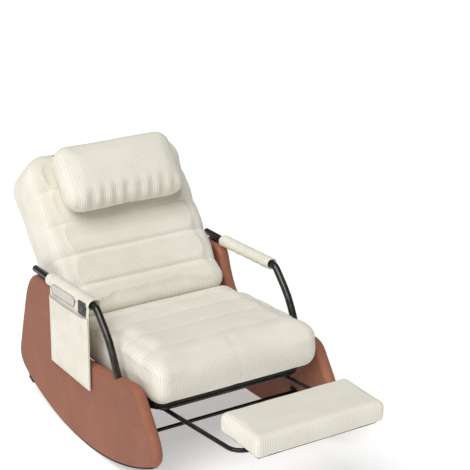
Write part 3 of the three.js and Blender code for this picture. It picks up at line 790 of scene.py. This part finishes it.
def arm_sleeves():
    length = arm_frame()[3]
    lip = [(SLEEVE_LIP * (1 - math.cos(a)), SLEEVE_LIP * math.sin(a))
           for a in np.linspace(0, math.pi / 2, 6)]
    wall = SLEEVE_R - SLEEVE_BORE
    outer = [(t, SLEEVE_R - SLEEVE_LIP + r) for t, r in lip]
    outer += [(s, SLEEVE_R) for s in np.linspace(0.006, length - 0.006, 90)]
    outer += [(length - t, SLEEVE_R - SLEEVE_LIP + r) for t, r in lip[::-1]]
    inner = [(s, SLEEVE_BORE + (0.25 * wall if s in (0.0015, length - 0.0015) else 0))
             for s in np.linspace(length - 0.0015, 0.0015, 24)]
    profile = np.array(outer + inner)
    turns = np.linspace(0, 2 * math.pi, 57)[:-1]
    for side, sign in SIDES:
        rows = []
        for s, r in profile:
            share = np.clip((r - SLEEVE_BORE) / wall, 0, 1)
            ends = math.exp(-((s - 0.02) / 0.02) ** 2) + math.exp(-((s - length + 0.02) / 0.02) ** 2)
            wrinkle = 0.00045 * np.sin(7 * turns + 2.2 * math.sin(s * 40)) * ends
            ripple = 0.0005 * np.sin(s * 2 * math.pi / 0.052 + 1.7 * np.cos(turns + sign))
            seam = 0.0017 * np.exp(-((turns - 1.5 * math.pi) / 0.12) ** 2)
            flat = 0.0008 * np.cos(2 * turns)
            radius = r + share * (wrinkle + ripple - seam + flat)
            rows.append(np.stack([sign * PANEL_X + radius * np.cos(turns), np.full(56, s),
                                  radius * np.sin(turns)], axis=1))
        points = arm_place(np.vstack(rows))
        n, m = 56, len(profile)
        faces = [(i * n + j, i * n + (j + 1) % n, (i + 1) % m * n + (j + 1) % n, (i + 1) % m * n + j)
                 for i in range(m) for j in range(n)]
        piece = mesh_piece(f"{side}_sleeve_cloth", points, faces, PLAIN_CLOTH)
        outward(piece)
        smooth_shade(piece)
        done(piece, "base", "corduroy", f"{side}_arm_sleeve")


def done(piece, body, slot, *nodes):
    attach(piece, body)
    if nodes:
        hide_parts(*nodes)
    return piece


# ------------------------------------------------------------------ sheets of cloth
def doubled_faces(rows, columns):
    """Faces of two grids of points, one behind the other, closed along their four sides."""
    faces = []
    back = rows * columns
    for i in range(rows - 1):
        for j in range(columns - 1):
            k = i * columns + j
            faces.append((k, k + 1, k + columns + 1, k + columns))
            faces.append((back + k, back + k + columns, back + k + columns + 1, back + k + 1))
        for j in (0, columns - 1):
            k = i * columns + j
            faces.append((k, k + columns, back + k + columns, back + k))
    for j in range(columns - 1):
        for k in (j, (rows - 1) * columns + j):
            faces.append((k, k + 1, back + k + 1, back + k))
    return faces


def thick_strip(path, low, high, half=CLOTH, columns=40):
    """(points as (a, b, across), faces) of a cloth along a path of (a, b), from low to high across."""
    path = np.array(path, float)
    ahead = np.gradient(path, axis=0)
    ahead /= np.linalg.norm(ahead, axis=1, keepdims=True)
    normal = np.stack([-ahead[:, 1], ahead[:, 0]], axis=1)
    shares = np.linspace(0, 1, columns)
    points = []
    for face in (1, -1):
        for i, centre in enumerate(path):
            for share in shares:
                a, b = centre + normal[i] * half * face
                points.append((a, b, low + (high - low) * share))
    return np.array(points), doubled_faces(len(path), columns)


def soften(path, rounds=3):
    """Rounds the corners of a path, keeping its ends."""
    path = np.array(path, float)
    for _ in range(rounds):
        path[1:-1] = 0.25 * path[:-2] + 0.5 * path[1:-1] + 0.25 * path[2:]
    return path


def plumb(points):
    """Row-frame points from (x, forward, up) of a cloth that hangs straight down off the sleeve."""
    x, ahead, up = np.asarray(points, float).T
    slope = arm_frame()[1].z
    share = np.clip(-up / POCKET_DROP, 0, 1)
    level = up - share * slope * (ahead + POCKET_Y[1])
    return arm_place(np.stack([x, ahead + slope * np.minimum(up, 0), level], axis=1))


def sheet_face(drop, lift):
    """(x, up) on the outer face of the pocket's sheet, drop below the sleeve's axis along the cloth."""
    ring = SLEEVE_R + 0.0024 + CLOTH + lift
    if drop >= 0:
        return POCKET_SHEET_X - CLOTH - lift, -drop
    angle = -drop / ring
    return -PANEL_X - ring * math.cos(angle), ring * math.sin(angle)


def side_pocket():
    """A cloth sheet looped over the right sleeve, with a flat pouch sewn to its outer face."""
    ring = SLEEVE_R + 0.0004 + CLOTH + 0.0009
    centre = -PANEL_X
    wrap = [(centre + ring * math.cos(a), ring * math.sin(a))
            for a in np.linspace(-1.25, math.pi * 0.97, 44)]
    hang = [(POCKET_SHEET_X + 0.0046 * math.exp(-((-z) - 0.004) / 0.012), z)
            for z in np.linspace(-0.006, -POCKET_DROP, 60)]
    path = np.array(wrap + hang)
    y0, y1 = POCKET_Y
    points, faces = thick_strip(path, -y1, -y0)
    x, z, ahead = points.T
    x = x + 0.0006 * np.sin(ahead * 31 + z * 14)
    sheet = mesh_piece("pocket_sheet", plumb(np.stack([x, ahead, z], axis=1)), faces, PLAIN_CLOTH)
    outward(sheet)
    smooth_shade(sheet)
    done(sheet, "base", "corduroy", "side_pocket")

    columns, rows = 60, 56
    aheads = np.linspace(-y1 + 0.001, -y0 - 0.001, columns)
    drops = np.linspace(-POCKET_MOUTH, -POCKET_DROP + 0.001, rows)
    outer, inner = [], []
    for z in drops:
        for ahead in aheads:
            share = np.clip((ahead + y1) / (-y0 + y1), 0, 1)
            down = (-z - POCKET_MOUTH) / (POCKET_DROP - POCKET_MOUTH)
            belly = min(1, 9 * share) * min(1, 9 * (1 - share)) * min(1, 9 * (1 - down))
            belly = math.sin(belly * math.pi / 2)
            gape = POCKET_ROOM * (0.42 * belly + 0.30 * belly * math.exp(-(down / 0.16) ** 2))
            x = POCKET_SHEET_X - 2.2 * CLOTH - gape
            sag = 0.004 * math.sin(math.pi * share) * math.exp(-(down / 0.1) ** 2)
            hem = 0.0006 if down < 0.06 else 0.0
            outer.append((x - CLOTH - hem, ahead, z - sag))
            inner.append((x + CLOTH, ahead, z - sag))
    pouch = mesh_piece("pocket_pouch", plumb(outer + inner), doubled_faces(rows, columns), PLAIN_CLOTH)
    outward(pouch)
    smooth_shade(pouch)
    done(pouch, "base", "corduroy")
    pocket_stitches(aheads, drops)
    pocket_label()


def pocket_stitches(aheads, drops):
    """The visible stitches along the pouch's two sides and its bottom."""
    x = POCKET_SHEET_X - 3.5 * CLOTH
    inset = 0.0045
    left, right = aheads[0] + inset, aheads[-1] - inset
    top, bottom = drops[0] - 0.002, drops[-1] + inset
    runs = [((x, left, top), (x, left, bottom)), ((x, left, bottom), (x, right, bottom)),
            ((x, right, bottom), (x, right, top))]
    stitches("pocket_stitching", [tuple(map(Vector, run)) for run in runs], 0.0042, 0.0028,
             0.00042, THREAD, "base")


def stitches(name, runs, pitch, length, radius, material, body):
    """One mesh of short thread ends that lie along each straight run of arm coordinates."""
    points, faces = [], []
    sides = 6
    for start, end in runs:
        along = end - start
        count = int(along.length / pitch)
        step = along.normalized()
        other = Vector((1, 0, 0))
        third = step.cross(other)
        for i in range(count):
            middle = start + step * pitch * (i + 0.5)
            base = len(points)
            for share, size in ((-0.5, 0.35), (-0.32, 1.0), (0.32, 1.0), (0.5, 0.35)):
                for turn in np.linspace(0, 2 * math.pi, sides, endpoint=False):
                    offset = (other * math.cos(turn) + third * math.sin(turn)) * radius * size
                    points.append(middle + step * length * share + offset)
            for ring in range(3):
                for j in range(sides):
                    k, m = base + ring * sides + j, base + ring * sides + (j + 1) % sides
                    faces.append((k, m, m + sides, k + sides))
            faces.append(tuple(base + j for j in range(sides))[::-1])
            faces.append(tuple(base + 3 * sides + j for j in range(sides)))
    piece = mesh_piece(name, plumb(np.array([tuple(p) for p in points])), faces, material)
    outward(piece)
    smooth_shade(piece)
    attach(piece, body)
    return piece


def wrapped(points):
    """Row-frame points from (forward, drop below the sleeve's axis, height above the sheet)."""
    rows = []
    for ahead, drop, height in points:
        x, up = sheet_face(drop, height)
        rows.append((x, ahead, up))
    return plumb(rows)


def plate(name, half_a, half_b, radius, centre, thick, material):
    """A thin plate of cloth or plastic that follows the sheet where it turns over the sleeve."""
    outline = rounded_rect(half_a, half_b, radius, centre)
    points, faces = slab(outline, 0.0003, thick, 0.0002, 0.0005, 0.003, 3)
    piece = mesh_piece(name, points, faces, material)
    remesh(piece, 0.0011, 1)
    set_points(piece, wrapped(get_points(piece)))
    outward(piece)
    return piece


def pocket_label():
    """A blank woven label with round ends and a corded border, and the black clip in front of it."""
    centre = LABEL_AT
    label = plate("pocket_label_cloth", *LABEL_HALF, 0.0165, centre, 0.0018, LABEL_CLOTH)
    done(label, "base", "label_cloth", "pocket_label")
    loop = resample(rounded_rect(LABEL_HALF[0] - 0.001, LABEL_HALF[1] - 0.001, 0.0155, centre), 0.0022)
    path = wrapped([(a, b, 0.0019) for a, b in loop])
    points, faces = tube_mesh(path, 0.0007, 6, closed=True)
    border = mesh_piece("pocket_label_border", points, faces, DARK_THREAD)
    outward(border)
    smooth_shade(border)
    done(border, "base", "label_cloth")
    clip = plate("pocket_clip_body", *CLIP_HALF, 0.005, CLIP_AT, 0.0024, BLACK_PLASTIC)
    done(clip, "base", "black_plastic", "pocket_clip")
    tongue = plate("pocket_clip_tongue", 0.0160, 0.0125, 0.004, CLIP_AT, 0.0042, BLACK_PLASTIC)
    done(tongue, "base", "black_plastic")


def tube_mesh(path, radius, sides=8, closed=False):
    """(points, faces) of a round thread along a path of points."""
    path = np.asarray(path, float)
    ahead = np.roll(path, -1, axis=0) - np.roll(path, 1, axis=0) if closed else np.gradient(path, axis=0)
    ahead /= np.linalg.norm(ahead, axis=1, keepdims=True)
    reference = np.array((1.0, 0, 0))
    first = np.cross(ahead, reference)
    first /= np.linalg.norm(first, axis=1, keepdims=True)
    second = np.cross(ahead, first)
    turns = np.linspace(0, 2 * math.pi, sides, endpoint=False)
    points = np.vstack([p + radius * (np.outer(np.cos(turns), f) + np.outer(np.sin(turns), g))
                        for p, f, g in zip(path, first, second)])
    rows = len(path)
    faces = [(i * sides + j, i * sides + (j + 1) % sides,
              ((i + 1) % rows) * sides + (j + 1) % sides, ((i + 1) % rows) * sides + j)
             for i in range(rows if closed else rows - 1) for j in range(sides)]
    if not closed:
        faces.append(tuple(range(sides))[::-1])
        faces.append(tuple(range((rows - 1) * sides, rows * sides)))
    return points, faces


def pillow_flap():
    """The cloth that carries the pillow: up its rear, over the top of the back, down to a weight."""
    half_width = 0.189
    gap = 0.0019
    near = LOCAL["back"][np.abs(LOCAL["back"][:, 0]) < half_width]

    def top_at(out):
        return near[np.abs(near[:, 1] - out) < 0.006, 2].max() + gap

    def rear_at(up):
        return near[np.abs(near[:, 2] - up) < 0.006, 1].min() - gap

    middle = 0.062
    outs = np.linspace(0.108, middle, 7)
    touch = (outs[0], top_at(outs[0]))
    sag = 0.004
    free = [(0.214 + (touch[0] - 0.214) * t, 0.556 + (touch[1] - 0.556) * t - sag * math.sin(math.pi * t))
            for t in np.linspace(0, 1, 14)[:-1]]
    front_path = free + [(out, top_at(out)) for out in outs]
    rear_path = [(out, top_at(out)) for out in np.linspace(middle, 0.004, 9)]
    for up in np.linspace(rear_path[-1][1] - 0.016, 0.468, 18):
        share = float(smoothstep(0.550, 0.482, up))
        rear_path.append((rear_at(up) * (1 - share) - 0.038 * share, up))
    rear_path = soften(rear_path)
    front_path = soften(front_path)
    halves = (("flap_front_cloth", front_path, "back", "pillow", touch, front_path[1]),
              ("flap_rear_cloth", rear_path, "back", "counterweight", (0.0, touch[1]),
               (rear_path[-1][0], 0.490)))
    for name, path, a, b, start, end in halves:
        points, faces = thick_strip(path, -half_width, half_width, 0.0008)
        out, up, across = points.T
        piece = mesh_piece(name, back_place(np.stack([across, out, up], axis=1)), faces, CORDUROY)
        outward(piece)
        smooth_shade(piece)
        finish_cloth(piece, across, out, up, np.zeros(len(across)))
        if name == "flap_front_cloth":
            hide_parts("pillow_flap")
        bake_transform(piece)


# ------------------------------------------------------------------ carried CAD nodes
def dress_cad_nodes():
    """Gives each visible CAD node its finish, smooth round faces and slightly broken edges."""
    slots = {row["node"]: row["material_slot"] for row in frame["record"]["subparts"]}
    for name, node in NODES.items():
        node.data.materials.clear()
        node.data.materials.append(FINISH[slots[name]])
        if node.hide_render:
            continue
        if "custom_normal" in node.data.attributes:
            node.data.attributes.remove(node.data.attributes["custom_normal"])
        node.data.polygons.foreach_set("use_smooth", [True] * len(node.data.polygons))
        weld = node.modifiers.new("Weld", "WELD")
        weld.merge_threshold = 0.00002
        bevel = node.modifiers.new("Bevel", "BEVEL")
        bevel.width = 0.0005
        bevel.segments = 2
        bevel.limit_method = "ANGLE"
        bevel.angle_limit = math.radians(50)
        bevel.harden_normals = False
        split = node.modifiers.new("Split", "EDGE_SPLIT")
        split.split_angle = math.radians(48)


# ------------------------------------------------------------------ stage, light and camera
def stage():
    corners = [(x * FLOOR_HALF, y * FLOOR_HALF, FLOOR_Z) for x, y in ((-1, -1), (1, -1), (1, 1), (-1, 1))]
    floor = mesh_piece("floor", corners, [(0, 1, 2, 3)],
                       Shader("floor", srgb(230, 230, 230), 0.9, Emission_Color=(1, 1, 1, 1),
                              Emission_Strength=FLOOR_GLOW).material)
    world = bpy.data.worlds.new("studio")
    bpy.context.scene.world = world
    world.use_nodes = True
    background = world.node_tree.nodes["Background"]
    background.inputs["Color"].default_value = (1, 0.99, 0.975, 1)
    background.inputs["Strength"].default_value = SKY_STRENGTH
    bpy.context.scene.view_settings.view_transform = "Standard"


def key_light():
    """A large soft light from high on the chair's right-hand side."""
    light = bpy.data.lights.new("key", "SUN")
    light.energy = KEY_STRENGTH
    light.angle = KEY_SPREAD
    holder = bpy.data.objects.new("key", light)
    bpy.context.scene.collection.objects.link(holder)
    holder.rotation_euler = Vector(KEY_HEADING).to_track_quat("-Z", "Y").to_euler()


def camera():
    level = math.cos(CAMERA_ELEVATION)
    back = Vector((math.sin(CAMERA_AZIMUTH) * level, -math.cos(CAMERA_AZIMUTH) * level,
                   math.sin(CAMERA_ELEVATION)))
    data = bpy.data.cameras.new("camera")
    data.sensor_width = 36
    data.lens = CAMERA_LENS
    data.shift_x, data.shift_y = CAMERA_SHIFT
    data.clip_end = 200
    eye = bpy.data.objects.new("camera", data)
    bpy.context.scene.collection.objects.link(eye)
    eye.location = Vector(CAMERA_TARGET) + back * CAMERA_DISTANCE
    eye.rotation_euler = (-back).to_track_quat("-Z", "Y").to_euler()
    bpy.context.scene.camera = eye


camera()
stage()
key_light()
side_panels()
seat_cushion()
back_cushion()
rear_cover()
head_pillow()
footrest_pad()
arm_sleeves()
side_pocket()
pillow_flap()
dress_cad_nodes()

bpy.context.view_layer.update()
